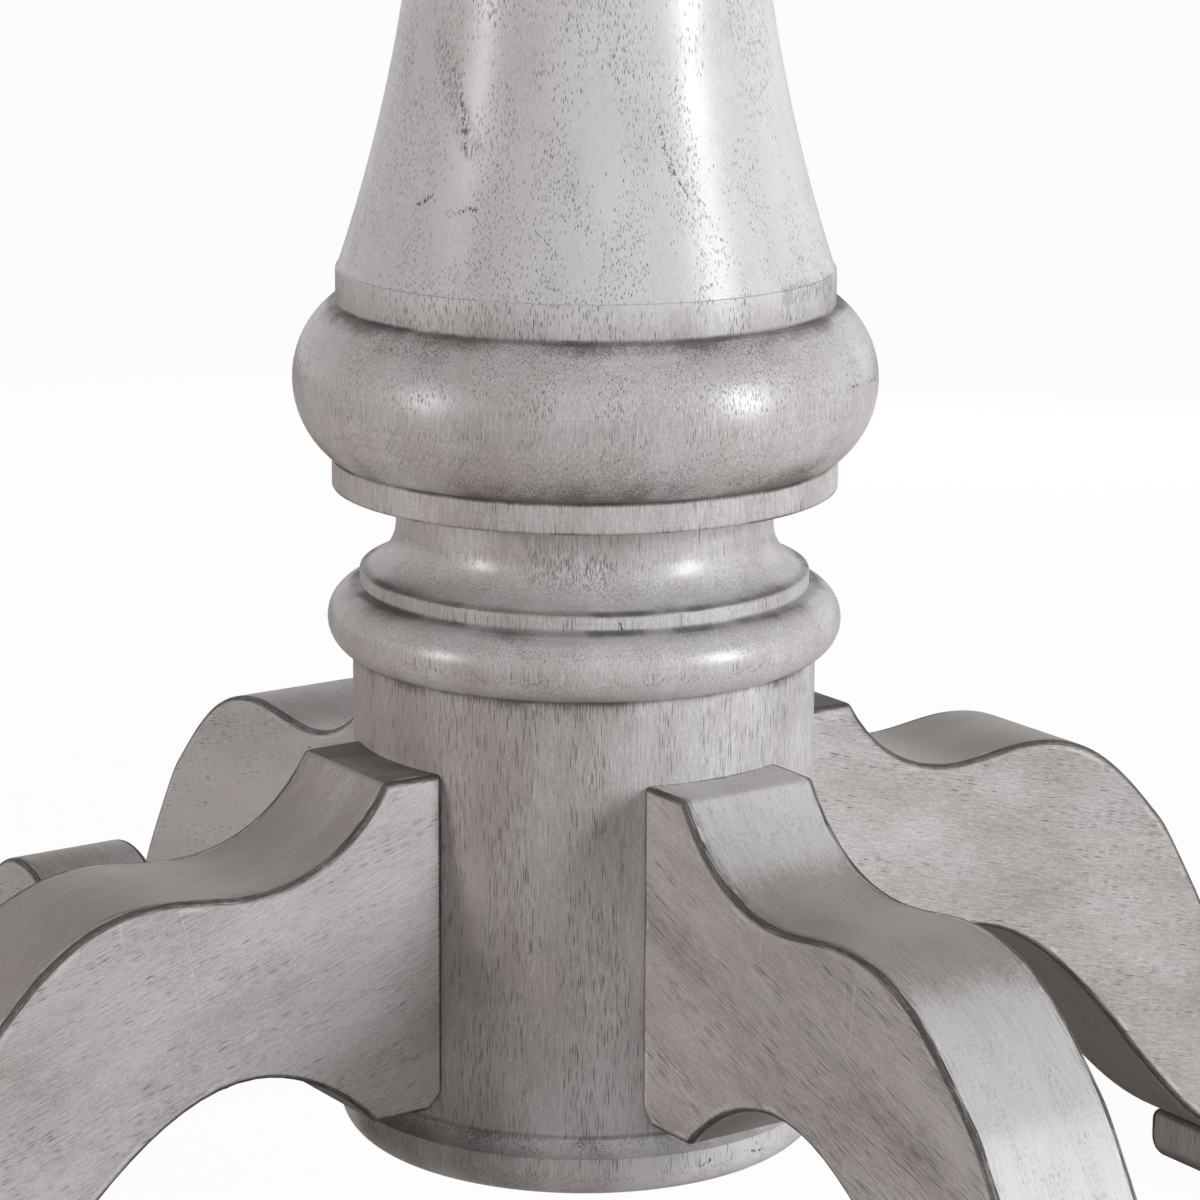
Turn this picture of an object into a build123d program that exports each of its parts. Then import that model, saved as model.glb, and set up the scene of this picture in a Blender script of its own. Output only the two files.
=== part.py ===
from build123d import *
import os
from math import cos, radians, sin, sqrt

# Pedestal table base, +Z up, origin on the floor under the column's axis.
# A turned column hangs between four legs at right angles, and each leg's toe
# rests on a pad with a floor glide. A plain plate on the column takes the table top.

# Floor glides, one nailed under each pad
glide_r = 19.0
glide_t = 3.0
glide_edge = 1.2
nail_r = 1.4
nail_length = 16.0

# Foot pads, screwed under the soles of the legs
pad_t = 26.5
pad_heel_out = 4.5      # pad beyond the back of the sole
pad_toe_in = 12.0       # pad's outer end, inside the tip of the toe
pad_heel_round = 15.0   # lower inner and outer corners
pad_top_round = 4.0     # upper inner and outer corners
pad_ease = 1.5          # long edges

# Legs, sawn from thick board; heights count up from the sole, drops down from the root's
# top, and reaches out from the drum's face
leg_t = 63.5
leg_ease = 2.0
root_land = 20.0        # flat top beside the drum
root_top_h = 249.8
root_bottom_h = 110.2
root_heel = 26.0        # flat bottom beside the drum, out to the cusp
root_ease = 6.0         # inner lower corner
corner_round = 2.5
cusp_round = 4.0
dip_reach, dip_drop = 80.0, 35.8
knee_reach, knee_drop = 117.0, 32.5
brow_reach, brow_drop = 162.0, 44.3
fall_reach, fall_drop = 194.0, 73.8
shin_reach, shin_drop = 222.0, 116.8
ankle_r = 62.0          # hollow above the toe
toe_reach, toe_r = 367.0, 39.5
toe_start_deg = 130.0   # where the hollow runs onto the round toe
corner_run_deg = -60.0  # directions of the outline at four of its points
shin_run_deg = -60.0
sole_run_deg = 155.0
cusp_run_deg = 229.0
arch_reach, arch_h = 80.0, 139.0
calf_reach, calf_h = 156.0, 98.0
shank_reach, shank_h = 204.0, 44.5
sole_length = 105.0     # flat sole, back from under the toe's centre
sole_round = 6.0

# Column, turned from one block; each height is that of one moulding, from the bottom up
base_ring_h = 25.5
base_ring_out = 6.5     # base ring beyond the drum
base_ring_round = 14.0
base_cove_h = 7.0
base_cove_r = 8.4
drum_r = 95.0
drum_h = 179.5
drum_below_root = 5.5   # bare drum under the legs' roots
low_torus_h = 27.7
low_torus_out = 10.2
fillet_h = 6.4
fillet_in = 3.0         # fillet inside the drum's radius
fillet_ease = 1.0       # its upper arris
cove_h = 19.8
cove_r = 19.0
neck_in = 17.8          # waist inside the drum's radius
neck_h = 14.8
band_h = 12.2
band_out = 8.0
torus_h = 62.5
torus_out = 23.7
torus_top_out = 9.0     # upper crease of the torus, a little outside the band above it
bell_band_h = 14.5
bell_band_out = 6.0
bell_step = 0.8         # flare inside its band
bell_h = 212.0
collar_in = 30.0        # top of the bell inside the drum's radius
collar_h = 15.0
turned_ease = 0.6       # arrises of the bands

# Hollow in the column's foot, which gives access to the leg bolts
bore_r = 48.0
bore_roof = 34.0        # above the upper bolts

# Leg bolts: hanger bolts in the legs, with a washer and a nut inside the hollow
bolt_r = 4.0
bolt_in_leg = 52.0
bolt_hole_clear = 0.5
thread_clear = 0.1
bolt_low = 45.0         # lower bolts above the bottom of the root
bolt_pitch = 36.0
bolt_end = 3.0          # bolt beyond its nut
spot_depth = 1.5        # flat cut into the hollow's wall under each washer
spot_clear = 1.0
washer_r = 11.0
washer_t = 2.0
nut_flats = 13.0
nut_t = 6.5
glue_line = 0.2         # between a leg's root and the drum

# Pad screws, countersunk from below
screw_r = 2.5
screw_head_r = 5.0
screw_head_h = 3.0
screw_sunk = 1.0
pad_screw_length = 48.0
pad_screw_in = 38.0     # from each end of the pad

# Plate for the table top, and the screws that hold it on the column
plate_side = 320.0
plate_t = 25.0
plate_corner = 20.0
plate_bevel = 8.0
top_hole_r = 4.0
top_hole_pitch = 260.0
plate_screw_r = 3.0
plate_screw_head_r = 6.0
plate_screw_head_h = 3.6
plate_screw_length = 80.0
plate_screw_circle_r = 42.0

# Heights and radii that follow from the sizes above
sole_z = glide_t + pad_t
root_top_z = sole_z + root_top_h
root_bottom_z = sole_z + root_bottom_h
drum_z = root_bottom_z - drum_below_root
column_z = drum_z - base_ring_h
bolt_zs = [root_bottom_z + bolt_low, root_bottom_z + bolt_low + bolt_pitch]
root_u = sqrt(drum_r ** 2 - (leg_t / 2) ** 2)
spot_u = bore_r + spot_depth
toe_u = drum_r + toe_reach
sole_u = toe_u - sole_length
pad_in_u = sole_u - pad_heel_out
pad_out_u = toe_u + toe_r - pad_toe_in
glide_u = (pad_in_u + pad_out_u) / 2
screw_us = [pad_in_u + pad_screw_in, pad_out_u - pad_screw_in]
leg_turns = {"right": 0, "back": 90, "left": 180, "front": 270}


def column_levels():
    """Heights of the creases between the column's mouldings, from the bottom up."""
    heights = [base_ring_h, drum_h, low_torus_h, fillet_h, cove_h, neck_h, band_h, torus_h,
               bell_band_h, bell_h, collar_h]
    levels = [column_z]
    for height in heights:
        levels.append(levels[-1] + height)
    return levels


column_top_z = column_levels()[-1]
plate_top_z = column_top_z + plate_t


def bulge(low, high, out_r):
    """A half-round moulding between two creases, out to the radius out_r."""
    middle = (out_r, (low[1] + high[1]) / 2)
    return ThreePointArc(low, middle, high)


def round_corners(face, radii):
    """A face in the XZ plane with the corners at the given points rounded."""
    for (u, z), radius in radii.items():
        face = fillet(face.vertices().sort_by_distance(Vector(u, 0, z))[0], radius)
    return face


def heading(degrees):
    return Vector(cos(radians(degrees)), sin(radians(degrees)))


def column_profile():
    """The column's half section, from the axis at the bottom round to the axis at the top."""
    z = column_levels()
    ring_r = drum_r + base_ring_out
    cove_low_z = z[1] - base_cove_h
    fillet_r = drum_r - fillet_in
    neck_r = drum_r - neck_in
    band_r = drum_r + band_out
    torus_top_r = drum_r + torus_top_out
    bell_band_r = drum_r + bell_band_out
    bell_r = bell_band_r - bell_step
    collar_r = drum_r - collar_in
    with BuildSketch(Plane.XZ) as section:
        with BuildLine():
            Line((0, z[0]), (ring_r - base_ring_round, z[0]))
            RadiusArc((ring_r - base_ring_round, z[0]), (ring_r, z[0] + base_ring_round), -base_ring_round)
            Line((ring_r, z[0] + base_ring_round), (ring_r, cove_low_z))
            RadiusArc((ring_r, cove_low_z), (drum_r, z[1]), base_cove_r)
            Line((drum_r, z[1]), (drum_r, z[2]))
            bulge((drum_r, z[2]), (fillet_r, z[3]), drum_r + low_torus_out)
            Line((fillet_r, z[3]), (fillet_r, z[4]))
            RadiusArc((fillet_r, z[4]), (neck_r, z[5]), cove_r)
            Polyline((neck_r, z[5]), (neck_r, z[6]), (band_r, z[6]), (band_r, z[7]))
            bulge((band_r, z[7]), (torus_top_r, z[8]), drum_r + torus_out)
            Polyline((torus_top_r, z[8]), (bell_band_r, z[8]), (bell_band_r, z[9]), (bell_r, z[9]))
            bell_arc = ((bell_r - collar_r) ** 2 + bell_h ** 2) / (2 * (bell_r - collar_r))
            RadiusArc((bell_r, z[9]), (collar_r, z[10]), bell_arc)
            Polyline((collar_r, z[10]), (collar_r, z[11]), (0, z[11]), (0, z[0]))
        make_face()
    return round_corners(section.sketch, {(fillet_r, z[4]): fillet_ease, (band_r, z[6]): turned_ease,
                                          (bell_band_r, z[9]): turned_ease})


def radial_hole(radius, start_u, end_u, z):
    """A round bar along +X at height z, used for bolts and their holes."""
    return Pos(start_u, 0, z) * Rot(0, 90, 0) * Cylinder(radius, end_u - start_u,
                                                        align=(Align.CENTER, Align.CENTER, Align.MIN))


def around(shape):
    """The shape at each of the four legs."""
    return [Rot(0, 0, turn) * shape for turn in leg_turns.values()]


def turned_column():
    column = revolve(column_profile(), Axis.Z)
    column -= Pos(0, 0, column_z) * Cylinder(bore_r, bolt_zs[1] + bore_roof - column_z,
                                             align=(Align.CENTER, Align.CENTER, Align.MIN))
    for z in bolt_zs:
        column -= around(radial_hole(washer_r + spot_clear, 0, spot_u, z))
        column -= around(radial_hole(bolt_r + bolt_hole_clear, 0, drum_r * 2, z))
    for screw in plate_screw_places():
        column -= screw * plate_screw(thread_clear)
    return column


def leg_outline():
    """The leg's side view in the XZ plane, from the drum to the tip of the toe."""
    inner = root_u / 2
    corner = (drum_r + root_land, root_top_z)
    dip = (drum_r + dip_reach, root_top_z - dip_drop)
    knee = (drum_r + knee_reach, root_top_z - knee_drop)
    brow = (drum_r + brow_reach, root_top_z - brow_drop)
    fall = (drum_r + fall_reach, root_top_z - fall_drop)
    shin = (drum_r + shin_reach, root_top_z - shin_drop)
    toe_z = sole_z + toe_r
    start = heading(toe_start_deg)
    toe_on = Vector(toe_u, toe_z) + start * toe_r
    ankle = toe_on + (start - Vector(0, 1)) * ankle_r
    toe_tip = (toe_u + toe_r, toe_z)
    toe_low = (toe_u, sole_z)
    back = (sole_u, sole_z)
    shank = (drum_r + shank_reach, sole_z + shank_h)
    calf = (drum_r + calf_reach, sole_z + calf_h)
    arch = (drum_r + arch_reach, sole_z + arch_h)
    cusp = (drum_r + root_heel, root_bottom_z)
    eased = (root_u + root_ease, root_bottom_z)
    raised = (inner, root_bottom_z + eased[0] - inner)
    with BuildSketch(Plane.XZ) as outline:
        with BuildLine():
            Line((inner, root_top_z), corner)
            Spline(corner, dip, knee, brow, fall, shin,
                   tangents=[heading(corner_run_deg), heading(shin_run_deg)])
            Spline(shin, ankle, tangents=[heading(shin_run_deg), (1, 0)])
            RadiusArc(ankle, toe_on, -ankle_r)
            ThreePointArc(toe_on, toe_tip, toe_low)
            Line(toe_low, back)
            Spline(back, shank, calf, arch, cusp,
                   tangents=[heading(sole_run_deg), heading(cusp_run_deg)])
            Polyline(cusp, eased, raised, (inner, root_top_z))
        make_face()
    return round_corners(outline.sketch, {corner: corner_round, cusp: cusp_round,
                                          back: sole_round, eased: root_ease})


def eased_slab(side_view, ease):
    """A side view thickened to the legs' board, with the edges round both its faces eased."""
    slab = extrude(side_view, leg_t / 2, both=True)
    sides = slab.faces().filter_by(Axis.Y)
    return fillet(sides.edges(), ease)


def leg():
    """A leg along +X, coped to the drum and drilled for its bolts and its pad's screws."""
    board = eased_slab(leg_outline(), leg_ease)
    board -= Pos(0, 0, column_z) * Cylinder(drum_r + glue_line, root_top_z,
                                            align=(Align.CENTER, Align.CENTER, Align.MIN))
    for z in bolt_zs:
        board -= radial_hole(bolt_r + thread_clear, 0, drum_r + bolt_in_leg, z)
    for u in screw_us:
        board -= pad_screw(u, thread_clear)
    return board


def foot_pad():
    """A block under the toe, with rounded ends and its screws' holes."""
    side = Pos(glide_u, glide_t + pad_t / 2) * Rectangle(pad_out_u - pad_in_u, pad_t)
    side = fillet(side.vertices().sort_by(Axis.Y)[:2], pad_heel_round)
    side = fillet(side.vertices().sort_by(Axis.Y)[-2:], pad_top_round)
    block = eased_slab(Plane.XZ * side, pad_ease)
    for u in screw_us:
        block -= pad_screw(u, thread_clear, open_below=True)
    block -= Pos(glide_u, 0, glide_t) * Cylinder(nail_r + thread_clear, nail_length,
                                                 align=(Align.CENTER, Align.CENTER, Align.MIN))
    return block


def floor_glide():
    """A smooth disc with a nail in its back."""
    disc = Pos(glide_u, 0, glide_t / 2) * Cylinder(glide_r, glide_t)
    disc = fillet(disc.edges().sort_by(Axis.Z)[:1], glide_edge)
    return disc + Pos(glide_u, 0, glide_t) * Cylinder(nail_r, nail_length,
                                                     align=(Align.CENTER, Align.CENTER, Align.MIN))


def wood_screw(shank_r, head_r, head_h, length, clear):
    """A flat-head screw with its head's face at the origin, pointing up +Z."""
    low = (Align.CENTER, Align.CENTER, Align.MIN)
    head = Cone(head_r + clear, shank_r + clear, head_h, align=low)
    return head + Cylinder(shank_r + clear, length, align=low)


def pad_screw(u, clear, open_below=False):
    """A screw up through the pad into the sole, or with clearance the hole for it."""
    screw = Pos(u, 0, glide_t + screw_sunk) * wood_screw(screw_r, screw_head_r, screw_head_h,
                                                         pad_screw_length, clear)
    if open_below:
        screw += Pos(u, 0, glide_t) * Cylinder(screw_head_r + clear, screw_sunk,
                                               align=(Align.CENTER, Align.CENTER, Align.MIN))
    return screw


def plate_screw(clear):
    """A screw pointing down from the plate's top face, or with clearance the hole for it."""
    return Rot(180, 0, 0) * wood_screw(plate_screw_r, plate_screw_head_r, plate_screw_head_h,
                                       plate_screw_length, clear)


def plate_screw_places():
    places = PolarLocations(plate_screw_circle_r, 4, start_angle=45)
    return [Pos(0, 0, plate_top_z) * place for place in places]


def top_plate():
    """A square board with eased corners, bevelled underneath, drilled for the table top's screws."""
    with BuildSketch() as square:
        RectangleRounded(plate_side, plate_side, plate_corner)
    board = Pos(0, 0, column_top_z) * extrude(square.sketch, plate_t)
    board = chamfer(board.faces().sort_by(Axis.Z)[0].edges(), plate_bevel)
    for place in GridLocations(top_hole_pitch, top_hole_pitch, 2, 2):
        board -= Pos(0, 0, column_top_z + plate_t / 2) * place * Cylinder(top_hole_r, plate_t)
    for place in plate_screw_places():
        board -= place * plate_screw(thread_clear)
    return board


def hanger_bolt(z):
    start = spot_u - washer_t - nut_t - bolt_end
    return radial_hole(bolt_r, start, drum_r + bolt_in_leg, z)


def bolt_washer(z):
    disc = radial_hole(washer_r, spot_u - washer_t, spot_u, z)
    return disc - radial_hole(bolt_r + bolt_hole_clear, 0, spot_u, z)


def bolt_nut(z):
    with BuildSketch(Plane.YZ) as hexagon:
        RegularPolygon(nut_flats / 2, 6, major_radius=False)
    nut = Pos(spot_u - washer_t - nut_t, 0, z) * extrude(hexagon.sketch, nut_t)
    return nut - radial_hole(bolt_r + thread_clear, 0, spot_u, z)


def at_bolts(make):
    """Every bolt's copy of a fastener, as one group."""
    return Compound(children=[copy for z in bolt_zs for copy in around(make(z))])


def save(name, shape):
    export_step(shape, f"parts/{name}.step")


os.makedirs("parts", exist_ok=True)
save("turned_column", turned_column())
one_leg = leg()
one_pad = foot_pad()
one_glide = floor_glide()
for side, turn in leg_turns.items():
    save(f"leg_{side}", Rot(0, 0, turn) * one_leg)
    save(f"foot_pad_{side}", Rot(0, 0, turn) * one_pad)
    save(f"floor_glide_{side}", Rot(0, 0, turn) * one_glide)
save("hanger_bolts", at_bolts(hanger_bolt))
save("bolt_washers", at_bolts(bolt_washer))
save("bolt_nuts", at_bolts(bolt_nut))
save("pad_screws", Compound(children=[copy for u in screw_us for copy in around(pad_screw(u, 0))]))
save("top_plate", top_plate())
save("plate_screws", Compound(children=[place * plate_screw(0) for place in plate_screw_places()]))
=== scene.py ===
from math import atan2, cos, pi, radians, sin, sqrt

import bmesh
import bpy
from mathutils import Matrix, Vector


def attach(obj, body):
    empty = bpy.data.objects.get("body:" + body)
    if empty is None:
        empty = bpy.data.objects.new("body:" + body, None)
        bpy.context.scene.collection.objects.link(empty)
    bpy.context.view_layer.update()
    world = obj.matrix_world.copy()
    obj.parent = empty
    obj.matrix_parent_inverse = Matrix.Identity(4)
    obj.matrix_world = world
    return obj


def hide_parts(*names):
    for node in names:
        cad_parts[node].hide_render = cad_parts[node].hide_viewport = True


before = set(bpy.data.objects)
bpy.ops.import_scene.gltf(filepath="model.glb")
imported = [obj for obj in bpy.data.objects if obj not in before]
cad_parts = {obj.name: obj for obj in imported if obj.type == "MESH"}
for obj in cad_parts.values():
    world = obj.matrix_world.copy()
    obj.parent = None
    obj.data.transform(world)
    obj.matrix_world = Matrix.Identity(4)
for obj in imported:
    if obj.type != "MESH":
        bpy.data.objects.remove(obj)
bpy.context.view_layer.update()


# Turned column: one thick block of open-pored hardwood, turned on a lathe and bored from below.
# It is painted off-white, then brushed with a thin brown glaze that is wiped off again, so the
# glaze stays in the creases between the mouldings and in the pores, which run up the column.

def new_piece(name):
    """The mesh that was just added, renamed, with everything else deselected."""
    piece = bpy.context.object
    piece.name = piece.data.name = name
    return piece


def along_arc(start, end, radius, cuts):
    """Points from start to end on an arc, whose centre is on the left for a positive radius."""
    chord = end - start
    left = Vector((-chord.y, chord.x)).normalized()
    rise = sqrt(radius ** 2 - (chord.length / 2) ** 2)
    centre = (start + end) / 2 + left * rise * (1 if radius > 0 else -1)
    first, last = start - centre, end - centre
    sweep = atan2(first.cross(last), first.dot(last))
    for cut in range(1, cuts + 1):
        turn = sweep * cut / cuts
        yield centre + Matrix.Rotation(turn, 2) @ first


# radius and height of each crease in millimetres, with the arc that leads up to it
column_turning = [
    (0, 254.7, 0), (48, 254.7, 0), (48, 108.7, 0), (87.5, 108.7, 0),
    (101.5, 122.7, 14), (101.5, 127.2, 0), (95, 134.2, -8.4), (95, 313.7, 0),
    (92, 341.4, 14.14), (92, 347, 0), (91.2, 348, 1), (77.2, 367.6, -19),
    (77.2, 382.4, 0), (102.4, 382.4, 0), (103, 383, 0.6), (103, 394.6, 0),
    (104, 457.1, 39.74), (101, 457.1, 0), (101, 471, 0), (100.4, 471.6, 0.6), (100.2, 471.6, 0),
    (65, 683.6, -656), (65, 698.6, 0), (0, 698.6, 0)]
arc_cuts, turn_steps = 18, 160
merge_within = 0.00002

bpy.ops.object.select_all(action="DESELECT")
bpy.ops.mesh.primitive_plane_add(size=0.01)
column = new_piece("turned_column_painted")
bpy.ops.object.mode_set(mode="EDIT")
bpy.ops.mesh.select_all(action="SELECT")
bpy.ops.mesh.merge(type="CENTER")
here = Vector(column_turning[0][:2]) / 1000
bpy.ops.transform.translate(value=(here.x, 0, here.y))
for radius_mm, height_mm, arc_mm in column_turning[1:]:
    there = Vector((radius_mm, height_mm)) / 1000
    steps = along_arc(here, there, arc_mm / 1000, arc_cuts) if arc_mm else [there]
    for step in steps:
        move = step - here
        bpy.ops.mesh.extrude_vertices_move(TRANSFORM_OT_translate={"value": (move.x, 0, move.y)})
        here = step
bpy.ops.mesh.select_all(action="SELECT")
bpy.ops.mesh.spin(steps=turn_steps, angle=2 * pi, center=(0, 0, 0), axis=(0, 0, 1))
bpy.ops.mesh.select_all(action="SELECT")
bpy.ops.mesh.remove_doubles(threshold=merge_within)
bpy.ops.mesh.normals_make_consistent(inside=False)
bpy.ops.object.mode_set(mode="OBJECT")
bpy.ops.object.shade_smooth_by_angle(angle=radians(30))


def add_node(tree, kind, inputs, **settings):
    """A shader node with its settings and inputs, where a socket is linked and a value is set."""
    made = tree.nodes.new(kind)
    for name, value in settings.items():
        setattr(made, name, value)
    for name, value in inputs.items():
        if isinstance(value, bpy.types.NodeSocket):
            tree.links.new(value, made.inputs[name])
        else:
            made.inputs[name].default_value = value
    return made


def figure(tree, operation, *values):
    """The result of a sum on values that change over the surface."""
    made = add_node(tree, "ShaderNodeMath", dict(enumerate(values)), operation=operation)
    return made.outputs[0]


def vector_figure(tree, operation, *values):
    """The result of a sum on places or directions: a vector, or a value for a product or a distance."""
    made = add_node(tree, "ShaderNodeVectorMath", dict(enumerate(values)), operation=operation)
    return made.outputs["Value" if operation in ("DOT_PRODUCT", "DISTANCE") else "Vector"]


def fade(tree, value, start, end):
    """A smooth change from 0 where the value is at its start to 1 where it is at its end."""
    made = add_node(tree, "ShaderNodeMapRange", {"Value": value, "From Min": start, "From Max": end},
                    interpolation_type="SMOOTHSTEP")
    return made.outputs[0]


def blend_colours(tree, amount, under, over):
    made = add_node(tree, "ShaderNodeMix", {0: amount, 6: under, 7: over}, data_type="RGBA")
    return made.outputs[2]


def blend_vectors(tree, amount, under, over):
    made = add_node(tree, "ShaderNodeMix", {0: amount, 4: under, 5: over}, data_type="VECTOR")
    return made.outputs[1]


def stretched(tree, vector, along, across):
    """The same place with lengths counted in units of the given sizes, along the grain and across."""
    return vector_figure(tree, "MULTIPLY", vector, (1 / along, 1 / across, 1 / across))


def cloud(tree, vector, scale, detail=3, roughness=0.55):
    made = add_node(tree, "ShaderNodeTexNoise", {"Vector": vector, "Scale": scale, "Detail": detail,
                                                 "Roughness": roughness})
    return made.outputs[0]


def new_group(name, takes, gives):
    """An effect that several finishes share, with its named sockets."""
    group = bpy.data.node_groups.new(name, "ShaderNodeTree")
    for label, kind in takes.items():
        group.interface.new_socket(label, in_out="INPUT", socket_type=kind)
    for label in gives:
        group.interface.new_socket(label, in_out="OUTPUT", socket_type="NodeSocketFloat")
    return group, group.nodes.new("NodeGroupInput").outputs, group.nodes.new("NodeGroupOutput").inputs


# Open pores: short dark dashes along the grain, in drifts, of uneven size and depth
pore_length, pore_width = 0.0044, 0.0007
pores, given, put = new_group("open_pores", {"Grain": "NodeSocketVector",
                                             "Density": "NodeSocketFloat"}, ["Pores"])
cells = stretched(pores, given["Grain"], pore_length, pore_width)
dashes = add_node(pores, "ShaderNodeTexVoronoi", {"Vector": cells, "Scale": 1.0})
lot = add_node(pores, "ShaderNodeSeparateColor", {0: dashes.outputs["Color"]}).outputs
drift = fade(pores, cloud(pores, stretched(pores, given["Grain"], 0.055, 0.018), 1.0), 0.4, 0.62)
chosen = figure(pores, "LESS_THAN", lot[0], figure(pores, "MULTIPLY", drift, given["Density"]))
reach = figure(pores, "MULTIPLY_ADD", lot[1], 0.25, 0.26)
inside = fade(pores, figure(pores, "DIVIDE", dashes.outputs["Distance"], reach), 1.0, 0.5)
depth = figure(pores, "MULTIPLY", chosen, figure(pores, "MULTIPLY_ADD", lot[2], 0.5, 0.5))
pores.links.new(figure(pores, "MULTIPLY", inside, depth), put["Pores"])

# Wiped glaze: torn patches where the place holds it back, and a thin film in brushed streaks
glaze, given, put = new_group("wiped_glaze", {"Grain": "NodeSocketVector", "Held": "NodeSocketFloat",
                                              "Film": "NodeSocketFloat"}, ["Glaze"])
hairs = cloud(glaze, stretched(glaze, given["Grain"], 0.009, 0.0005), 1.0, detail=3, roughness=0.65)
rag = cloud(glaze, stretched(glaze, given["Grain"], 0.006, 0.003), 1.0, detail=4, roughness=0.7)
drift = cloud(glaze, stretched(glaze, given["Grain"], 0.06, 0.045), 1.0)
uneven = figure(glaze, "MAXIMUM", figure(glaze, "MULTIPLY_ADD", drift, 2.8, -0.5), 0.2)
torn = figure(glaze, "MULTIPLY_ADD", rag, 0.4, figure(glaze, "MULTIPLY_ADD", hairs, 1.2, -0.8))
torn = fade(glaze, figure(glaze, "MULTIPLY_ADD", given["Held"], uneven, torn), 0.3, 1.0)
streaky = figure(glaze, "MULTIPLY_ADD", hairs, 2.4, -0.7)
film = figure(glaze, "MULTIPLY", given["Film"],
              figure(glaze, "MULTIPLY", fade(glaze, drift, 0.35, 0.7), streaky))
both = figure(glaze, "ADD", torn, film)
glaze.links.new(add_node(glaze, "ShaderNodeClamp", {"Value": both}).outputs[0], put["Glaze"])

# Mark: one short line between two points, for a scratch, a crack or a scar
mark, given, put = new_group("mark", {"Place": "NodeSocketVector", "Start": "NodeSocketVector",
                                      "End": "NodeSocketVector", "Width": "NodeSocketFloat"}, ["Mask"])
run = vector_figure(mark, "SUBTRACT", given["End"], given["Start"])
gone = vector_figure(mark, "SUBTRACT", given["Place"], given["Start"])
part_way = figure(mark, "DIVIDE", vector_figure(mark, "DOT_PRODUCT", gone, run),
                  vector_figure(mark, "DOT_PRODUCT", run, run))
part_way = add_node(mark, "ShaderNodeClamp", {"Value": part_way}).outputs[0]
foot = add_node(mark, "ShaderNodeVectorMath", {0: run, "Scale": part_way}, operation="SCALE").outputs[0]
away = vector_figure(mark, "DISTANCE", gone, foot)
mark.links.new(fade(mark, figure(mark, "DIVIDE", away, given["Width"]), 1.0, 0.3), put["Mask"])


def place_group(tree, group, inputs):
    return add_node(tree, "ShaderNodeGroup", inputs, node_tree=group).outputs[0]


def place_marks(tree, place, marks):
    """Several marks at once: start, end and half width of each in metres, slightly wavering."""
    swing, bends_per_metre = 0.0015, 160.0
    waver = add_node(tree, "ShaderNodeTexNoise", {"Vector": place, "Scale": bends_per_metre, "Detail": 2.0})
    place = vector_figure(tree, "MULTIPLY_ADD", waver.outputs["Color"], (swing, swing, swing), place)
    place = vector_figure(tree, "SUBTRACT", place, (swing / 2, swing / 2, swing / 2))
    found = 0.0
    for start, end, width in marks:
        one = place_group(tree, mark, {"Place": place, "Start": start, "End": end, "Width": width})
        found = figure(tree, "MAXIMUM", one, found)
    return found


def new_finish(name):
    finish = bpy.data.materials.new(name)
    finish.use_nodes = True
    finish.node_tree.nodes.clear()
    return finish, finish.node_tree


# colours of the glaze, also used for painted shade on the legs, of the dirt in the pores and in the
# marks, and of the paint rubbed pale
glaze_and_shade_brown, pore_dark = (0.085, 0.070, 0.062, 1), (0.045, 0.037, 0.033, 1)
mark_dark, rubbed_pale = (0.03, 0.025, 0.022, 1), (0.78, 0.76, 0.74, 1)
pore_depth = 0.0004


def glazed_paint(tree, grain, strokes, soil_and_painted_light, glazed, pored, marked, rubbed, paint, shade, sheen):
    """Off-white paint, worn in fine lines, under a wiped glaze and rubbed pale in places."""
    tone = cloud(tree, stretched(tree, grain, 0.06, 0.025), 1.0, detail=4)
    lines = cloud(tree, stretched(tree, grain, 0.009, 0.0006), 1.0, detail=3, roughness=0.65)
    fuzz = cloud(tree, stretched(tree, grain, 0.0016, 0.0008), 1.0, detail=2)
    worn = figure(tree, "MULTIPLY_ADD", lines, 1.5, figure(tree, "MULTIPLY_ADD", tone, 1.0, -1.3))
    worn = figure(tree, "MULTIPLY_ADD", fuzz, 0.9, worn)
    # the soil offset also carries painted light and shade for the column and the legs
    worn = figure(tree, "ADD", worn, figure(tree, "ADD", strokes, soil_and_painted_light))
    colour = blend_colours(tree, fade(tree, worn, 0.0, 1.0), paint, shade)
    colour = blend_colours(tree, figure(tree, "MULTIPLY", glazed, 0.85), colour, glaze_and_shade_brown)
    colour = blend_colours(tree, figure(tree, "MULTIPLY", pored, 0.85), colour, pore_dark)
    colour = blend_colours(tree, figure(tree, "MULTIPLY", marked, 0.95), colour, mark_dark)
    colour = blend_colours(tree, rubbed, colour, rubbed_pale)
    dull = figure(tree, "MAXIMUM", glazed, marked)
    rough = figure(tree, "MULTIPLY_ADD", dull, 0.3, 0.62 - 0.56 * sheen)
    sunk = figure(tree, "MULTIPLY", pored, -1.0)
    relief = add_node(tree, "ShaderNodeBump", {"Height": sunk, "Strength": 0.25, "Distance": pore_depth})
    surface = add_node(tree, "ShaderNodeBsdfPrincipled", {
        "Base Color": colour, "Roughness": rough, "Specular IOR Level": sheen, "Normal": relief.outputs[0]})
    add_node(tree, "ShaderNodeOutputMaterial", {"Surface": surface.outputs[0]})


# how much glaze the turner's creases hold, by height in millimetres
crease_glaze = [
    (108.7, 0.5), (112, 0.3), (125, 0.2), (127.5, 0.35), (133.5, 0.5), (135, 0.2), (150, 0.06), (295, 0.06),
    (309, 0.3), (313.5, 0.75), (315, 0.5), (324, 0.12), (337, 0.35), (341, 0.8), (342.3, 0.15), (347, 0.15),
    (348.2, 0.7), (351, 0.3), (364, 0.3), (374, 0.2), (382, 0.65), (383.2, 0.25), (393, 0.15), (394.6, 0.85),
    (398, 0.55), (410, 0.3), (425, 0.1), (451, 0.25), (457, 0.9), (458.3, 0.15), (471.3, 0.2), (474, 0.08)]
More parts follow.
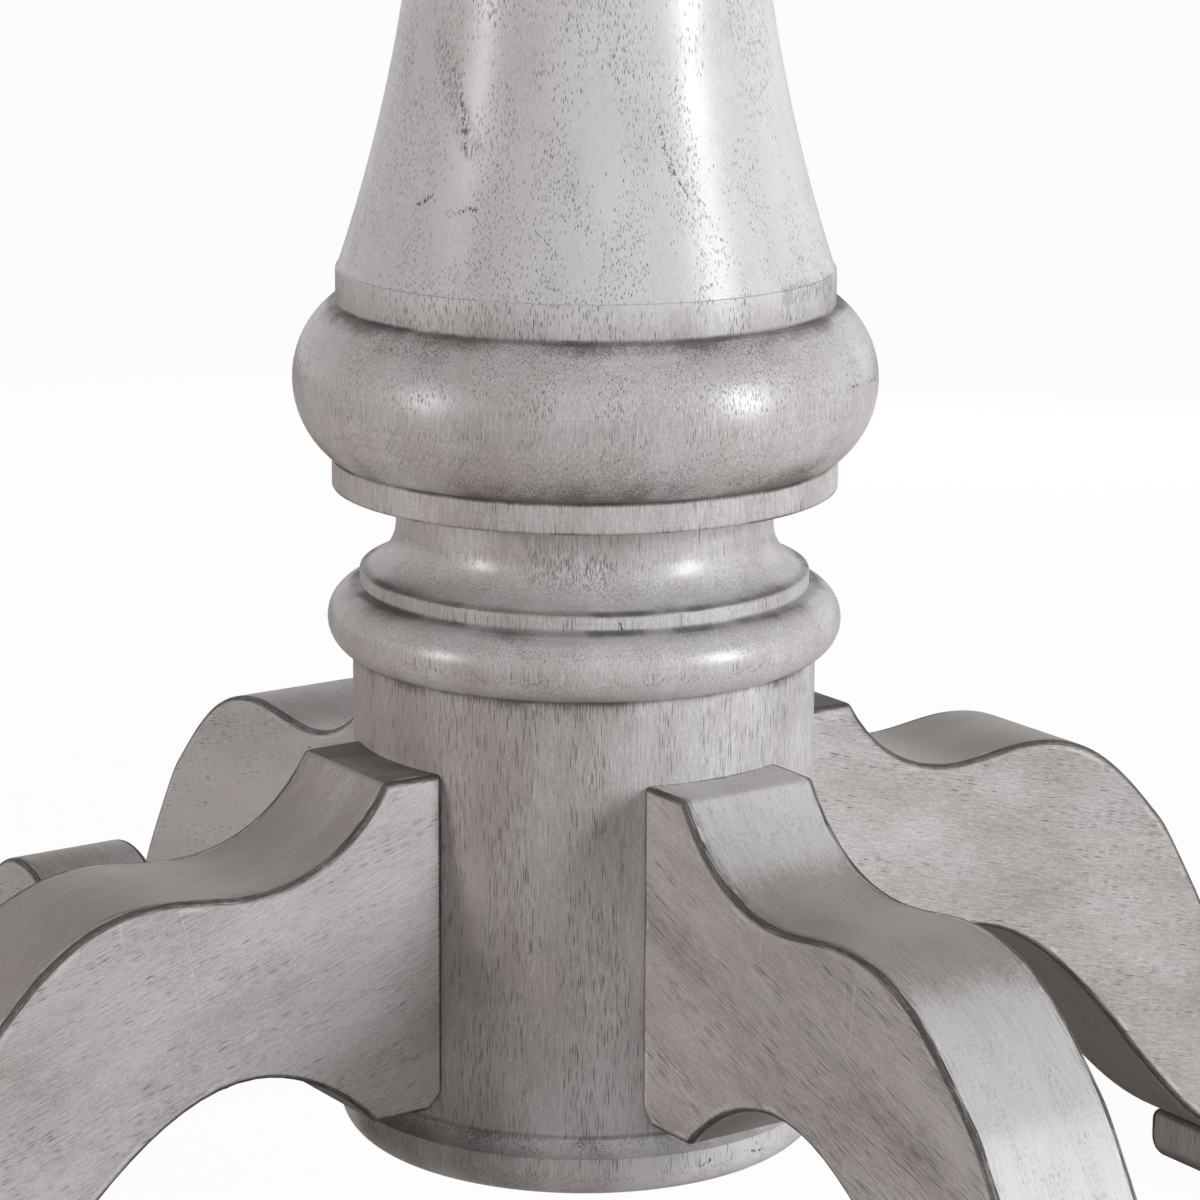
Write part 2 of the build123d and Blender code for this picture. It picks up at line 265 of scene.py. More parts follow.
# heights in metres between which one part of the finish gives way to the next
below_drum_top, above_bell_foot, down_drum = (0.316, 0.311), (0.455, 0.475), (0.2, 0.15)
above_band, below_belly = (0.395, 0.399), (0.428, 0.408)
above_drum, below_bell, torus_middle = (0.312, 0.316), (0.461, 0.455), 0.43
column_paint, column_shade, column_sheen = (0.70, 0.68, 0.68, 1), (0.45, 0.41, 0.39, 1), 0.55

column_finish, tree = new_finish("column_glazed_paint")
at = add_node(tree, "ShaderNodeTexCoord", {}).outputs["Object"]
axes = add_node(tree, "ShaderNodeSeparateXYZ", {0: at}).outputs
grain = add_node(tree, "ShaderNodeCombineXYZ", {0: axes[2], 1: axes[0], 2: axes[1]}).outputs[0]
low, high = crease_glaze[0][0] / 1000, 0.48
height = add_node(tree, "ShaderNodeMapRange", {"Value": axes[2], "From Min": low, "From Max": high})
by_height = add_node(tree, "ShaderNodeValToRGB", {0: height.outputs[0]})
stops = by_height.color_ramp.elements
while len(stops) < len(crease_glaze):
    stops.new(0.5)
for stop, (height_mm, amount) in zip(stops, crease_glaze):
    stop.position = (height_mm / 1000 - low) / (high - low)
    stop.color = (amount, amount, amount, 1)
on_drum = fade(tree, axes[2], *below_drum_top)
on_bell = fade(tree, axes[2], *above_bell_foot)
glazed = place_group(tree, glaze, {"Grain": grain, "Held": by_height.outputs[0],
                                   "Film": figure(tree, "MULTIPLY_ADD", on_drum, 0.3, 0.25)})

# the brush went round the column, and slantwise under the large torus; its seam is at the back
bearing = figure(tree, "ARCTAN2", figure(tree, "SUBTRACT", axes[0], axes[1]),
                 figure(tree, "MULTIPLY", figure(tree, "ADD", axes[0], axes[1]), -1.0))
mean_radius, brush_slant = 0.1, radians(-52)
girth = figure(tree, "MULTIPLY", bearing, mean_radius)
unrolled = add_node(tree, "ShaderNodeCombineXYZ", {0: girth, 1: axes[2]}).outputs[0]
slant = add_node(tree, "ShaderNodeVectorRotate", {"Vector": unrolled, "Angle": brush_slant},
                 rotation_type="Z_AXIS").outputs[0]
swipes = fade(tree, cloud(tree, stretched(tree, slant, 0.03, 0.0011), 1.0), 0.52, 0.68)
patches = fade(tree, cloud(tree, stretched(tree, unrolled, 0.03, 0.03), 1.0), 0.48, 0.62)
belly = figure(tree, "MULTIPLY", fade(tree, axes[2], *above_band), fade(tree, axes[2], *below_belly))
swipes = figure(tree, "MULTIPLY", figure(tree, "MULTIPLY", swipes, patches),
                figure(tree, "MULTIPLY", belly, 0.55))
glazed = figure(tree, "MAXIMUM", glazed, swipes)

# smudges that the wiping missed
smudges = place_marks(tree, at, [
    ((-0.0557, -0.0546, 0.3643), (-0.0396, -0.0677, 0.3624), 0.013),
    ((-0.0721, -0.0618, 0.3116), (-0.0562, -0.0766, 0.3102), 0.010),
    ((-0.1070, -0.0195, 0.4516), (-0.0984, -0.0457, 0.4519), 0.009),
    ((-0.0228, -0.1047, 0.4535), (0.0088, -0.1067, 0.4535), 0.008),
    ((0.0300, -0.0960, 0.4700), (0.0642, -0.0780, 0.4690), 0.007),
    ((-0.0749, -0.0093, 0.5666), (-0.0769, -0.0338, 0.5267), 0.007)])
streaks = cloud(tree, stretched(tree, grain, 0.005, 0.0008), 1.0, detail=3, roughness=0.65)
smudges = figure(tree, "MULTIPLY", smudges, fade(tree, streaks, 0.4, 0.72))
glazed = figure(tree, "MAXIMUM", glazed, smudges)

# brush strokes between the drum and the bell; a darker tone on the mouldings, lighter on the
# bell as painted light, darker on the drum's left as painted shadow of the left leg, and lighter
# towards the drum's foot as painted light
drag = cloud(tree, stretched(tree, unrolled, 0.04, 0.0007), 1.0, detail=3)
brushed = figure(tree, "MULTIPLY", fade(tree, axes[2], *above_drum), fade(tree, axes[2], *below_bell))
strokes = figure(tree, "MULTIPLY", figure(tree, "MULTIPLY_ADD", drag, 0.45, -0.3), brushed)
# painted shadow of the left leg, darkest on the drum's left side
left_leg_shadow = fade(tree, bearing, 0.9, -0.6)
soil_and_painted_light = figure(tree, "MULTIPLY", on_drum, figure(tree, "MULTIPLY_ADD", left_leg_shadow, 0.45, -0.2))
# painted light on the bell and low on the drum
soil_and_painted_light = figure(tree, "ADD", figure(tree, "MULTIPLY_ADD", on_bell, -0.46, 0.22), soil_and_painted_light)
soil_and_painted_light = figure(tree, "MULTIPLY_ADD", fade(tree, axes[2], *down_drum), -0.3, soil_and_painted_light)

# short pores above the middle of the large torus, long ones below it
long_pores, short_pores = (0.45, 1.3, 1.3), (1.0, 1.0, 1.0)
short = figure(tree, "GREATER_THAN", axes[2], torus_middle)
pore_run = vector_figure(tree, "MULTIPLY", grain, blend_vectors(tree, short, long_pores, short_pores))
often = figure(tree, "MULTIPLY_ADD", figure(tree, "MAXIMUM", on_drum, short), 0.8, 0.5)
pored = place_group(tree, pores, {"Grain": pore_run, "Density": often})

# a dark line in each sharp crease, and scars that break up into specks
sharp_creases, crease_reach = (134.2, 313.7, 341.4, 348, 382.4, 394.6, 457.1), (0.0014, 0.0003)
creases = 0.0
for height_mm in sharp_creases:
    beside = figure(tree, "ABSOLUTE", figure(tree, "SUBTRACT", axes[2], height_mm / 1000))
    creases = figure(tree, "MAXIMUM", creases, fade(tree, beside, *crease_reach))
creases = figure(tree, "MULTIPLY", creases, figure(tree, "MULTIPLY_ADD", patches, 0.5, 0.35))
scars = place_marks(tree, at, [
    ((-0.0204, -0.0780, 0.5411), (-0.0194, -0.0814, 0.5280), 0.0012),
    ((-0.0194, -0.0814, 0.5280), (-0.0172, -0.0844, 0.5186), 0.0019),
    ((-0.0172, -0.0844, 0.5186), (-0.0130, -0.0873, 0.5105), 0.0011),
    ((-0.0745, -0.0223, 0.5547), (-0.0777, -0.0321, 0.5266), 0.0013),
    ((-0.0890, -0.0145, 0.5037), (-0.0863, -0.0212, 0.5082), 0.0015),
    ((-0.0851, -0.0308, 0.5023), (-0.0797, -0.0416, 0.5047), 0.0018),
    ((0.0561, -0.1041, 0.4324), (0.0826, -0.0849, 0.4297), 0.0012),
    ((-0.0396, -0.0831, 0.3446), (-0.0388, -0.0834, 0.3418), 0.0008),
    ((0.0179, -0.0999, 0.1241), (0.0181, -0.0999, 0.1168), 0.0008),
    ((0.0112, -0.1009, 0.1220), (0.0246, -0.0985, 0.1193), 0.0009),
    ((-0.0111, -0.1009, 0.1198), (-0.0055, -0.1013, 0.1222), 0.0011)])
specks = fade(tree, cloud(tree, stretched(tree, grain, 0.0014, 0.0009), 1.0, detail=2), 0.5, 0.6)
scars = figure(tree, "MAXIMUM", figure(tree, "MULTIPLY", scars, specks), creases)
glazed_paint(tree, grain, strokes, soil_and_painted_light, glazed, pored, scars, 0.0,
             column_paint, column_shade, column_sheen)
column.data.materials.append(column_finish)
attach(column, "root")
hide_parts("turned_column")


# Legs: four equal S-curves, bandsawn from thick board with the grain running down to the toe,
# their edges eased by hand, then painted and glazed like the column. The glaze is thickest on the
# edges, where it was rubbed through beside the line. Two bolts hold each leg to the drum.

leg_half, leg_ease, leg_rim = 0.03175, 0.002, 0.009
cuts_per_span = 10
# points of the outline in millimetres, out from the axis and up, with the handles before and after
leg_sawing = [
    ((89, 279.3), None, None), ((115, 279.3), None, (14.3, -24.7)),
    ((175, 243.5), (-23.1, 0.2), (12.3, -0.1)), ((212, 246.8), (-12.3, -0.5), (15.5, 0.6)),
    ((257, 235), (-14.2, 9.2), (13.3, -8.6)), ((289, 205.5), (-6.5, 7.1), (7.7, -8.3)),
    ((317, 162.5), (-20.6, 35.7), (19.2, -33.3)), ((396.8, 84.75), (-52.5, 0), (14.6, 0)),
    ((436.6, 99.3), (-11.2, -9.4), (13.4, 11.2)), ((483.7, 102), (-14.6, 9.6), (14.6, -9.6)),
    ((499.8, 57.7), (5, 16.7), (-5, -16.7)), ((462, 29.5), (17.4, 0), None),
    ((357, 29.5), None, (-23.2, 10.8)), ((299, 74), (16.4, -17.5), (-16.1, 17.2)),
    ((251, 127.5), (17.8, -17.9), (-21.4, 21.5)), ((175, 168.5), (28, 1.4), (-19.8, -1)),
    ((121, 139.7), (13.6, 15.7), None), ((95.5, 139.7), None, None), ((89, 146.2), None, None)]

bpy.ops.object.select_all(action="DESELECT")
bpy.ops.curve.primitive_bezier_curve_add()
sawn = bpy.context.object
line = sawn.data.splines[0]
line.bezier_points.add(len(leg_sawing) - 2)
line.use_cyclic_u = True
line.resolution_u = cuts_per_span
for point, (place, before, after) in zip(line.bezier_points, leg_sawing):
    point.handle_left_type = "FREE" if before else "VECTOR"
    point.handle_right_type = "FREE" if after else "VECTOR"
    point.co = Vector((place[0], -leg_half * 1000, place[1])) / 1000
    if before:
        point.handle_left = point.co + Vector((before[0], 0, before[1])) / 1000
    if after:
        point.handle_right = point.co + Vector((after[0], 0, after[1])) / 1000
bpy.ops.object.convert(target="MESH")
leg = new_piece("leg_pattern")
bpy.ops.object.mode_set(mode="EDIT")
bpy.ops.mesh.select_all(action="SELECT")
bpy.ops.mesh.remove_doubles(threshold=merge_within)
bpy.ops.mesh.edge_face_add()
bpy.ops.mesh.extrude_region_move(TRANSFORM_OT_translate={"value": (0, 2 * leg_half, 0)})
bpy.ops.mesh.select_all(action="SELECT")
bpy.ops.mesh.normals_make_consistent(inside=False)


def select_where(piece, kind, test):
    """Selects the faces or edges of a mesh in edit mode that pass a test, and nothing else."""
    shape = bmesh.from_edit_mesh(piece.data)
    bpy.ops.mesh.select_all(action="DESELECT")
    for item in getattr(shape, kind):
        if test(item):
            item.select_set(True)
    bmesh.update_edit_mesh(piece.data)


def rim_boards(piece, side, rim, ease):
    """Insets both broad faces by the rim's width, marks the rim, then eases every outer edge."""
    select_where(piece, "faces", lambda face: abs(face.normal.dot(side)) > 0.99)
    bpy.ops.mesh.inset(thickness=rim)
    shape = bmesh.from_edit_mesh(piece.data)
    depth = shape.verts.layers.float.new("rim")
    for vertex in shape.verts:
        vertex[depth] = rim if vertex.select else 0.0
    bmesh.update_edit_mesh(piece.data)
    select_where(piece, "edges", lambda edge: edge.calc_face_angle(0) > radians(25))
    bpy.ops.mesh.bevel(offset=ease, segments=3, affect="EDGES", clamp_overlap=False)


rim_boards(leg, Vector((0, 1, 0)), leg_rim, leg_ease)
bpy.ops.object.mode_set(mode="OBJECT")
bpy.ops.object.shade_smooth_by_angle(angle=radians(40))


def keep_flats(piece):
    """Shades the broad faces flat right up to their eased edges."""
    bpy.context.view_layer.objects.active = piece
    piece.modifiers.new("flat_faces", "WEIGHTED_NORMAL").keep_sharp = True
    bpy.ops.object.modifier_apply(modifier="flat_faces")


def write_board(piece, fall, shift):
    """Stores each point's place in its board: along the grain, across it and through it."""
    board = piece.data.attributes.new("board", "FLOAT_VECTOR", "POINT")
    for vertex, entry in zip(piece.data.vertices, board.data):
        x, y, z = vertex.co
        entry.vector = (x * cos(fall) - z * sin(fall) + shift, x * sin(fall) + z * cos(fall), y)


keep_flats(leg)

# each leg's board lies in a stretch of its own along the grain, and the pads' boards after them
board_step, coarse_from, pads_from = 0.7, 2.0, 3
leg_paint, leg_shade, leg_sheen = (0.62, 0.59, 0.585, 1), (0.36, 0.32, 0.295, 1), 0.45
near_root_top, near_drum = (0.2785, 0.2792), (0.0975, 0.0955)

leg_finish, tree = new_finish("leg_glazed_paint")
board = add_node(tree, "ShaderNodeAttribute", {}, attribute_name="board").outputs["Vector"]
rim = add_node(tree, "ShaderNodeAttribute", {}, attribute_name="rim").outputs["Fac"]
parts = add_node(tree, "ShaderNodeSeparateXYZ", {0: board}).outputs
inwards = figure(tree, "SUBTRACT", leg_half, figure(tree, "ABSOLUTE", parts[2]))
on_sawn = fade(tree, inwards, 0.001, 0.003)
# on the sawn faces the sander drew the grain out along the curve
drawn = figure(tree, "MULTIPLY", parts[1], figure(tree, "MULTIPLY_ADD", on_sawn, -0.95, 1.0))
grain = add_node(tree, "ShaderNodeCombineXYZ", {0: parts[0], 1: drawn, 2: parts[2]}).outputs[0]
# the broad faces of the front leg and the pads are coarser than the rest
coarse = figure(tree, "MULTIPLY", figure(tree, "GREATER_THAN", parts[0], coarse_from),
                fade(tree, inwards, 0.003, 0.001))
facing = add_node(tree, "ShaderNodeNewGeometry", {}).outputs["Normal"]
upwards = add_node(tree, "ShaderNodeSeparateXYZ", {0: facing}).outputs[2]
at = add_node(tree, "ShaderNodeTexCoord", {}).outputs["Object"]
axes = add_node(tree, "ShaderNodeSeparateXYZ", {0: at}).outputs
# painted shade on the faces that look up, more of it on the left and right legs and most on those
# two roots' flat tops; painted light on the front and back legs' sawn faces
ends = fade(tree, axes[2], *near_root_top)
aside = fade(tree, figure(tree, "ABSOLUTE", axes[0]), 0.04, 0.09)
shaded_tops = figure(tree, "MAXIMUM", fade(tree, upwards, 0.75, 0.98),
              figure(tree, "MULTIPLY", aside, fade(tree, upwards, 0.3, 0.8)))
shaded_tops = figure(tree, "MULTIPLY", shaded_tops, figure(tree, "MULTIPLY_ADD", ends, -1.0, 1.0))
shaded_root_tops = figure(tree, "MULTIPLY", ends, aside)
plain = figure(tree, "MULTIPLY", fade(tree, aside, 1.0, 0.0), fade(tree, shaded_tops, 1.0, 0.0))
painted_light_sawn = figure(tree, "MULTIPLY", on_sawn, plain)
soil_and_painted_light = figure(tree, "MULTIPLY_ADD", painted_light_sawn, -0.35, figure(tree, "MULTIPLY_ADD", shaded_tops, 0.55, shaded_root_tops))
# one tone for each board: the right leg darker as painted shade, the back leg lighter as painted
# light, the left leg a little lighter
board_light_and_shade = (0.66, 0.15, 0.45, 0.5)
all_boards = board_step * len(board_light_and_shade)
by_board = add_node(tree, "ShaderNodeValToRGB", {0: figure(tree, "DIVIDE", parts[0], all_boards)})
by_board.color_ramp.interpolation = "CONSTANT"
stops = by_board.color_ramp.elements
for number, amount in enumerate(board_light_and_shade):
    stop = stops[number] if number < 2 else stops.new(0.9)
    stop.position = 0.25 * number - 0.01 * (number > 0)
    stop.color = (amount, amount, amount, 1)
soil_and_painted_light = figure(tree, "ADD", soil_and_painted_light, figure(tree, "SUBTRACT", by_board.outputs[0], 0.5))

# two ragged dark lines on each edge, one at the face and one where the easing ends
arris, line_reach = 0.0019, (0.001, 0.0003)
along_edge, off_edge = 70.0, 1800.0
from_edge = figure(tree, "MAXIMUM", rim, inwards)
waver = cloud(tree, stretched(tree, board, 0.018, 0.018), 1.0, detail=4)
beside = add_node(tree, "ShaderNodeCombineXYZ", {0: figure(tree, "MULTIPLY", parts[0], along_edge),
                                                 1: figure(tree, "MULTIPLY", parts[1], along_edge),
                                                 2: figure(tree, "MULTIPLY", from_edge, off_edge)}).outputs[0]
bristle = cloud(tree, beside, 1.0, detail=3, roughness=0.65)
ragged = figure(tree, "SUBTRACT", bristle, 0.5)
outer_line = fade(tree, figure(tree, "MULTIPLY_ADD", ragged, 0.004, from_edge), *line_reach)
off_arris = figure(tree, "SUBTRACT", inwards, arris)
off_arris = figure(tree, "ABSOLUTE", figure(tree, "MULTIPLY_ADD", ragged, 0.005, off_arris))
inner_line = figure(tree, "MULTIPLY", fade(tree, off_arris, *line_reach), fade(tree, rim, 0.001, 0.0))
between = figure(tree, "MULTIPLY", fade(tree, from_edge, 0.0024, 0.0015),
                 figure(tree, "MULTIPLY_ADD", fade(tree, bristle, 0.36, 0.58), 0.45, 0.52))
edge_line = figure(tree, "MAXIMUM", figure(tree, "MAXIMUM", outer_line, inner_line), between)
edge_line = figure(tree, "MULTIPLY", edge_line, fade(tree, waver, 0.14, 0.36))

# glaze held beside the edges and in the joint with the drum; painted shade in the glaze's colour on
# the left and right legs' root tops and on the faces that look down
soft_edge = figure(tree, "MULTIPLY", fade(tree, from_edge, 0.012, 0.0),
                   figure(tree, "MULTIPLY_ADD", on_sawn, 0.25, 0.3))
out = figure(tree, "SQRT", figure(tree, "ADD", figure(tree, "MULTIPLY", axes[0], axes[0]),
                                  figure(tree, "MULTIPLY", axes[1], axes[1])))
joint = figure(tree, "MULTIPLY", fade(tree, out, *near_drum), 0.8)
held = figure(tree, "MAXIMUM", soft_edge, figure(tree, "MAXIMUM", shaded_root_tops, joint))
glazed = place_group(tree, glaze, {"Grain": stretched(tree, grain, 2.2, 1.0), "Held": held,
                                   "Film": figure(tree, "MULTIPLY_ADD", coarse, 0.4, 0.4)})
# painted shade on the faces that look down
shaded_unders = fade(tree, upwards, -0.2, -0.7)
glazed = figure(tree, "MAXIMUM", glazed, figure(tree, "MAXIMUM", figure(tree, "MULTIPLY", shaded_root_tops, 0.7),
                                                figure(tree, "MULTIPLY", shaded_unders, 0.75)))

# pores of three sizes, a pale rub beside the edge lines, and a few scratches
fine_pores, coarse_pores, sawn_pores = (0.62, 1.5, 1.5), (0.3, 1.05, 1.05), (1.9, 2.1, 2.1)
pore_scale = blend_vectors(tree, coarse, fine_pores, coarse_pores)
pore_run = vector_figure(tree, "MULTIPLY", grain, blend_vectors(tree, on_sawn, pore_scale, sawn_pores))
often = figure(tree, "MULTIPLY_ADD", on_sawn, 0.4, figure(tree, "MULTIPLY_ADD", coarse, 0.5, 0.45))
pored = place_group(tree, pores, {"Grain": pore_run, "Density": often})
pored = figure(tree, "MULTIPLY", pored, figure(tree, "MULTIPLY_ADD", on_sawn, -0.35, 1.0))
rub = figure(tree, "MULTIPLY", fade(tree, from_edge, 0.0024, 0.003), fade(tree, from_edge, 0.0048, 0.0032))
rubbed = figure(tree, "MULTIPLY", rub, figure(tree, "MULTIPLY", fade(tree, waver, 0.52, 0.62), 0.45))
scratches = place_marks(tree, board, [
    ((1.5271, 0.2949, 0.0317), (1.5288, 0.2686, 0.0317), 0.0004),
    ((1.5288, 0.2828, 0.0317), (1.5321, 0.2528, 0.0317), 0.0004),
    ((1.5522, 0.3014, 0.0317), (1.5540, 0.2931, 0.0317), 0.0005),
    ((1.5438, 0.2355, 0.0317), (1.5383, 0.2439, 0.0317), 0.0004),
    ((2.2249, 0.3061, -0.0317), (2.2321, 0.2769, -0.0317), 0.0005),
    ((2.2214, 0.2975, -0.0317), (2.2262, 0.2799, -0.0318), 0.0004),
    ((2.1702, 0.2832, -0.0317), (2.1737, 0.2715, -0.0317), 0.0005)])
rubbed = figure(tree, "MAXIMUM", rubbed, figure(tree, "MULTIPLY", scratches, 0.4))
glazed_paint(tree, grain, 0.0, soil_and_painted_light, glazed, pored, edge_line, rubbed, leg_paint, leg_shade, leg_sheen)

leg_turns = {"right": 0, "back": 90, "left": 180, "front": 270}
leg_falls = {"right": 15, "back": 15, "left": 17, "front": 21}
for number, (side, turn) in enumerate(leg_turns.items()):
    copy = leg.copy()
    copy.data = leg.data.copy()
    copy.name = copy.data.name = f"leg_{side}_painted"
    bpy.context.collection.objects.link(copy)
    write_board(copy, radians(leg_falls[side]), board_step * number)
    copy.data.transform(Matrix.Rotation(radians(turn), 4, "Z"))
    copy.data.materials.append(leg_finish)
    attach(copy, "root")
    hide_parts(f"leg_{side}")
bpy.data.objects.remove(leg)


# Foot pads: a block of the same board under each toe, rounded at both ends and painted with the
# leg. Two sunk screws hold it up to the sole, and the glide is nailed into it from below.

pad_in, pad_out, pad_low, pad_top = 0.3525, 0.4895, 0.003, 0.0295
pad_low_round, pad_top_round, pad_rim, pad_ease = 0.015, 0.004, 0.003, 0.0015
same_place = 1e-5
bpy.ops.object.select_all(action="DESELECT")
bpy.ops.mesh.primitive_cube_add(size=1, location=((pad_in + pad_out) / 2, 0, (pad_low + pad_top) / 2))
pad = new_piece("pad_pattern")
pad.scale = (pad_out - pad_in, 2 * leg_half, pad_top - pad_low)
bpy.ops.object.transform_apply(location=True, rotation=True, scale=True)
bpy.ops.object.mode_set(mode="EDIT")


def runs_across(edge, height):
    """Whether an edge runs from side to side of the pad at a height."""
    a, b = (vertex.co for vertex in edge.verts)
    return abs(a.x - b.x) < same_place and max(abs(a.z - height), abs(b.z - height)) < same_place


select_where(pad, "edges", lambda edge: runs_across(edge, pad_low))
bpy.ops.mesh.bevel(offset=pad_low_round, segments=8, affect="EDGES")
select_where(pad, "edges", lambda edge: runs_across(edge, pad_top))
bpy.ops.mesh.bevel(offset=pad_top_round, segments=4, affect="EDGES")
rim_boards(pad, Vector((0, 1, 0)), pad_rim, pad_ease)
bpy.ops.object.mode_set(mode="OBJECT")
bpy.ops.object.shade_smooth_by_angle(angle=radians(40))
keep_flats(pad)
for number, (side, turn) in enumerate(leg_turns.items()):
    copy = pad.copy()
    copy.data = pad.data.copy()
    copy.name = copy.data.name = f"foot_pad_{side}_painted"
    bpy.context.collection.objects.link(copy)
    write_board(copy, 0, pads_from + board_step * number)
    copy.data.transform(Matrix.Rotation(radians(turn), 4, "Z"))
    copy.data.materials.append(leg_finish)
    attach(copy, "root")
    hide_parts(f"foot_pad_{side}")
bpy.data.objects.remove(pad)


# Floor glides: smooth moulded discs of dark plastic, each with a nail through its middle,
# scuffed grey where they slide on the floor.

glide_black, glide_scuffed = (0.02, 0.019, 0.018, 1), (0.11, 0.105, 0.1, 1)
glide_finish, tree = new_finish("glide_dark_plastic")
at = add_node(tree, "ShaderNodeTexCoord", {}).outputs["Object"]
scuff = fade(tree, cloud(tree, at, 220, detail=5, roughness=0.7), 0.45, 0.7)
colour = blend_colours(tree, scuff, glide_black, glide_scuffed)
rough = figure(tree, "MULTIPLY_ADD", scuff, 0.3, 0.35)
relief = add_node(tree, "ShaderNodeBump", {"Height": scuff, "Strength": 0.15, "Distance": 0.0003})
surface = add_node(tree, "ShaderNodeBsdfPrincipled", {"Base Color": colour, "Roughness": rough,
                                                      "Normal": relief.outputs[0]})
add_node(tree, "ShaderNodeOutputMaterial", {"Surface": surface.outputs[0]})
for side in leg_turns:
    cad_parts[f"floor_glide_{side}"].data.materials.clear()
    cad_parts[f"floor_glide_{side}"].data.materials.append(glide_finish)


# Bolts, washers, nuts and screws: zinc-plated steel, bright with a faint blue-grey mottle from
# the plating. The bolts pull the legs to the drum, and the screws hold the pads and the plate.

zinc_blue, zinc_pale = (0.52, 0.53, 0.54, 1), (0.68, 0.67, 0.63, 1)
steel_finish, tree = new_finish("zinc_plated_steel")
at = add_node(tree, "ShaderNodeTexCoord", {}).outputs["Object"]
mottle = cloud(tree, at, 400, detail=4)
colour = blend_colours(tree, mottle, zinc_blue, zinc_pale)
rough = figure(tree, "MULTIPLY_ADD", mottle, 0.25, 0.2)
surface = add_node(tree, "ShaderNodeBsdfPrincipled", {"Base Color": colour, "Roughness": rough,
                                                      "Metallic": 1.0})
add_node(tree, "ShaderNodeOutputMaterial", {"Surface": surface.outputs[0]})
for fastener in ("hanger_bolts", "bolt_washers", "bolt_nuts", "pad_screws", "plate_screws"):
    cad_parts[fastener].data.materials.clear()
    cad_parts[fastener].data.materials.append(steel_finish)


# Top plate: a square board screwed on the column, which takes the table top. It is painted with
# the rest, its corners rounded and its underside bevelled, with the glaze left at its edges.

plate_half = 0.16
plate_paint, plate_shade, plate_sheen = (0.60, 0.56, 0.545, 1), (0.42, 0.39, 0.365, 1), 0.4
plate_finish, tree = new_finish("plate_glazed_paint")
at = add_node(tree, "ShaderNodeTexCoord", {}).outputs["Object"]
axes = add_node(tree, "ShaderNodeSeparateXYZ", {0: at}).outputs
across = figure(tree, "MAXIMUM", figure(tree, "ABSOLUTE", axes[0]), figure(tree, "ABSOLUTE", axes[1]))
held = figure(tree, "MULTIPLY", fade(tree, figure(tree, "SUBTRACT", plate_half, across), 0.012, 0.0), 0.5)
glazed = place_group(tree, glaze, {"Grain": at, "Held": held, "Film": 0.35})
pored = place_group(tree, pores, {"Grain": stretched(tree, at, 2.0, 1.2), "Density": 0.5})
glazed_paint(tree, at, 0.0, 0.0, glazed, pored, 0.0, 0.0, plate_paint, plate_shade, plate_sheen)
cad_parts["top_plate"].data.materials.clear()
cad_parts["top_plate"].data.materials.append(plate_finish)


# Studio: a pale floor that shows white to the camera and keeps a soft shadow, two tall softboxes
# at the sides, a weak one in front, two without highlights behind the base and over its plate,
# and an even white surround.

floor_side, floor_colour, white_share = 12, (0.8, 0.755, 0.71, 1), 0.97
bpy.ops.object.select_all(action="DESELECT")
bpy.ops.mesh.primitive_plane_add(size=floor_side)
floor = new_piece("studio_floor")
floor_finish, tree = new_finish("pale_floor")
seen = add_node(tree, "ShaderNodeLightPath", {}).outputs["Is Camera Ray"]
matt = add_node(tree, "ShaderNodeBsdfDiffuse", {"Color": floor_colour})
white = add_node(tree, "ShaderNodeEmission", {"Color": (1, 1, 1, 1), "Strength": 1.0})
shown = add_node(tree, "ShaderNodeMixShader", {0: figure(tree, "MULTIPLY", seen, white_share),
                                               1: matt.outputs[0], 2: white.outputs[0]})
add_node(tree, "ShaderNodeOutputMaterial", {"Surface": shown.outputs[0]})
floor.data.materials.append(floor_finish)

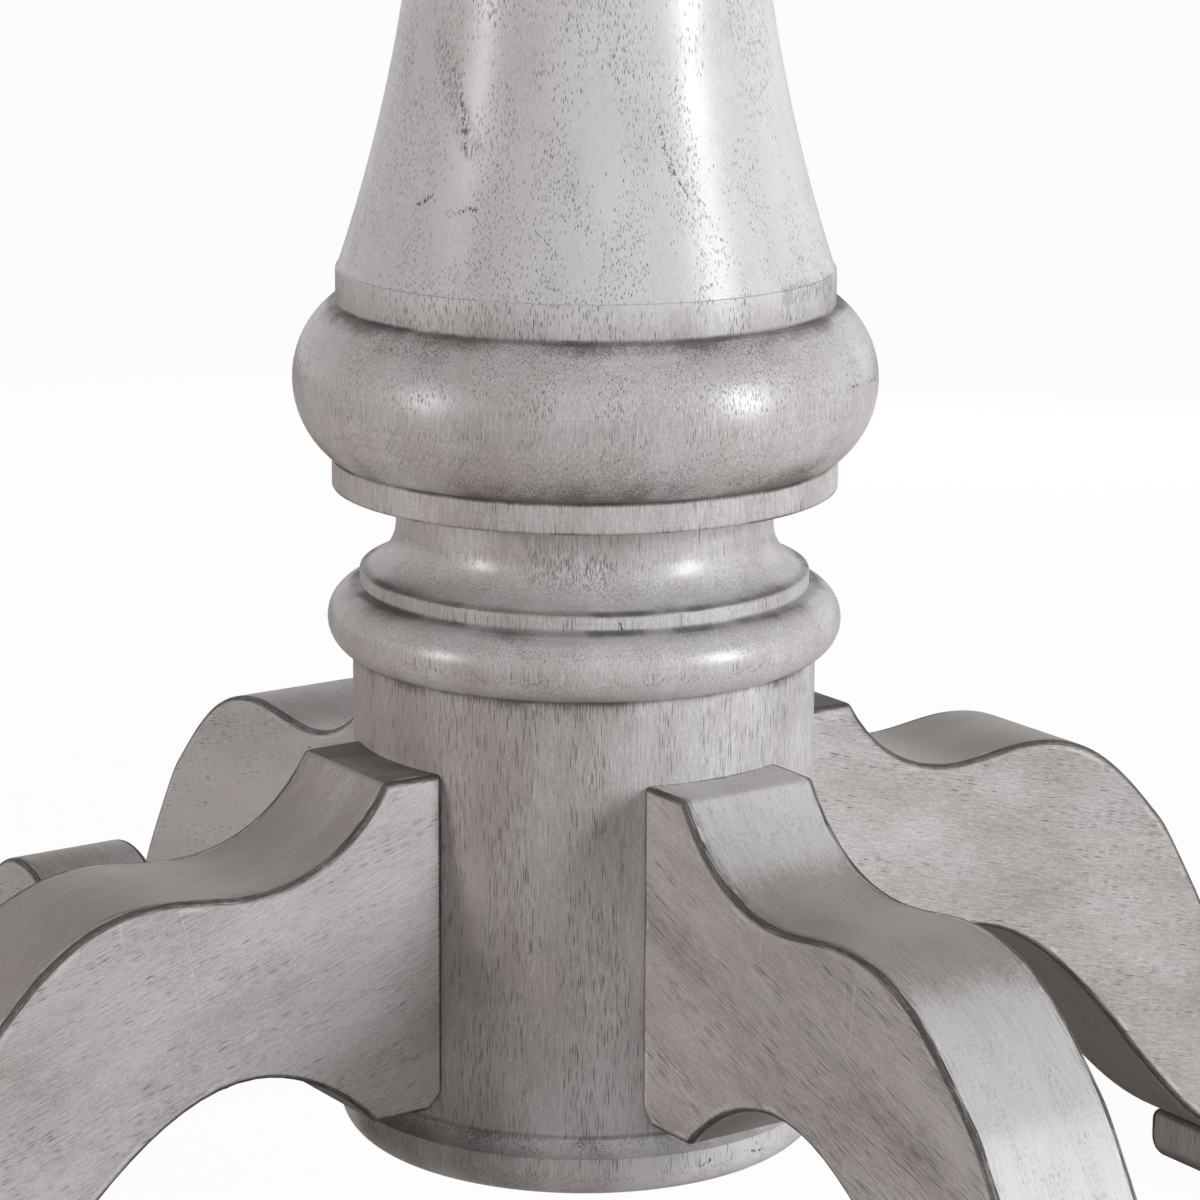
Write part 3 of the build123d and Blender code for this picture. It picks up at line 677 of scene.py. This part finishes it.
lamps_face = Vector((0, 0, 0.4))
for name, place, size, power, colour in (
        ("right_softbox", (0.95, -1.76, 0.80), (0.4, 0.9), 33, (0.93, 0.96, 1.0)),
        ("left_softbox", (-1.99, 0.25, 0.70), (0.2, 0.6), 15.5, (0.98, 0.95, 0.96)),
        ("front_softbox", (-0.70, -1.80, 1.0), (1.0, 1.0), 3.7, (0.95, 0.95, 1.0)),
        ("back_softbox", (1.50, 1.70, 0.55), (1.2, 0.8), 14, (1.0, 0.97, 0.95)),
        ("plate_softbox", (0.0, 0.0, 1.02), (0.12, 0.12), 0.45, (0.95, 0.95, 1.0))):
    bpy.ops.object.light_add(type="AREA", location=place)
    lamp = bpy.context.object
    lamp.name = name
    lamp.data.shape = "RECTANGLE"
    lamp.data.size, lamp.data.size_y = size
    lamp.data.energy = power
    lamp.data.color = colour
    lamp.visible_glossy = name not in ("back_softbox", "plate_softbox")
    lamp.rotation_euler = (lamps_face - lamp.location).to_track_quat("-Z", "Y").to_euler()

fill_light, fill_colour = 0.04, (1, 0.94, 0.88, 1)
world = bpy.data.worlds.new("white_surround")
bpy.context.scene.world = world
world.use_nodes = True
tree = world.node_tree
tree.nodes.clear()
rays = add_node(tree, "ShaderNodeLightPath", {}).outputs
bright = figure(tree, "MAXIMUM", rays["Is Camera Ray"],
                figure(tree, "MAXIMUM", rays["Is Glossy Ray"], rays["Is Transmission Ray"]))
strength = figure(tree, "MULTIPLY_ADD", bright, 1 - fill_light, fill_light)
tint = blend_colours(tree, bright, fill_colour, (1, 1, 1, 1))
sky = add_node(tree, "ShaderNodeBackground", {"Color": tint, "Strength": strength})
add_node(tree, "ShaderNodeOutputWorld", {"Surface": sky.outputs[0]})

bpy.ops.object.camera_add(location=(-0.9439, -1.3861, 0.7316))
camera = bpy.context.object
camera.name = "photo_camera"
pitch, heading = radians(13.51), radians(55.525)
look = Vector((cos(heading) * cos(pitch), sin(heading) * cos(pitch), -sin(pitch)))
lean = Matrix.Rotation(radians(0.354), 3, "Z")
camera.rotation_euler = (look.to_track_quat("-Z", "Y").to_matrix() @ lean).to_euler()
camera.data.sensor_width = 36
camera.data.lens = 125.95
camera.data.shift_y = 0.0077
bpy.context.scene.camera = camera
bpy.context.scene.view_settings.view_transform = "Standard"
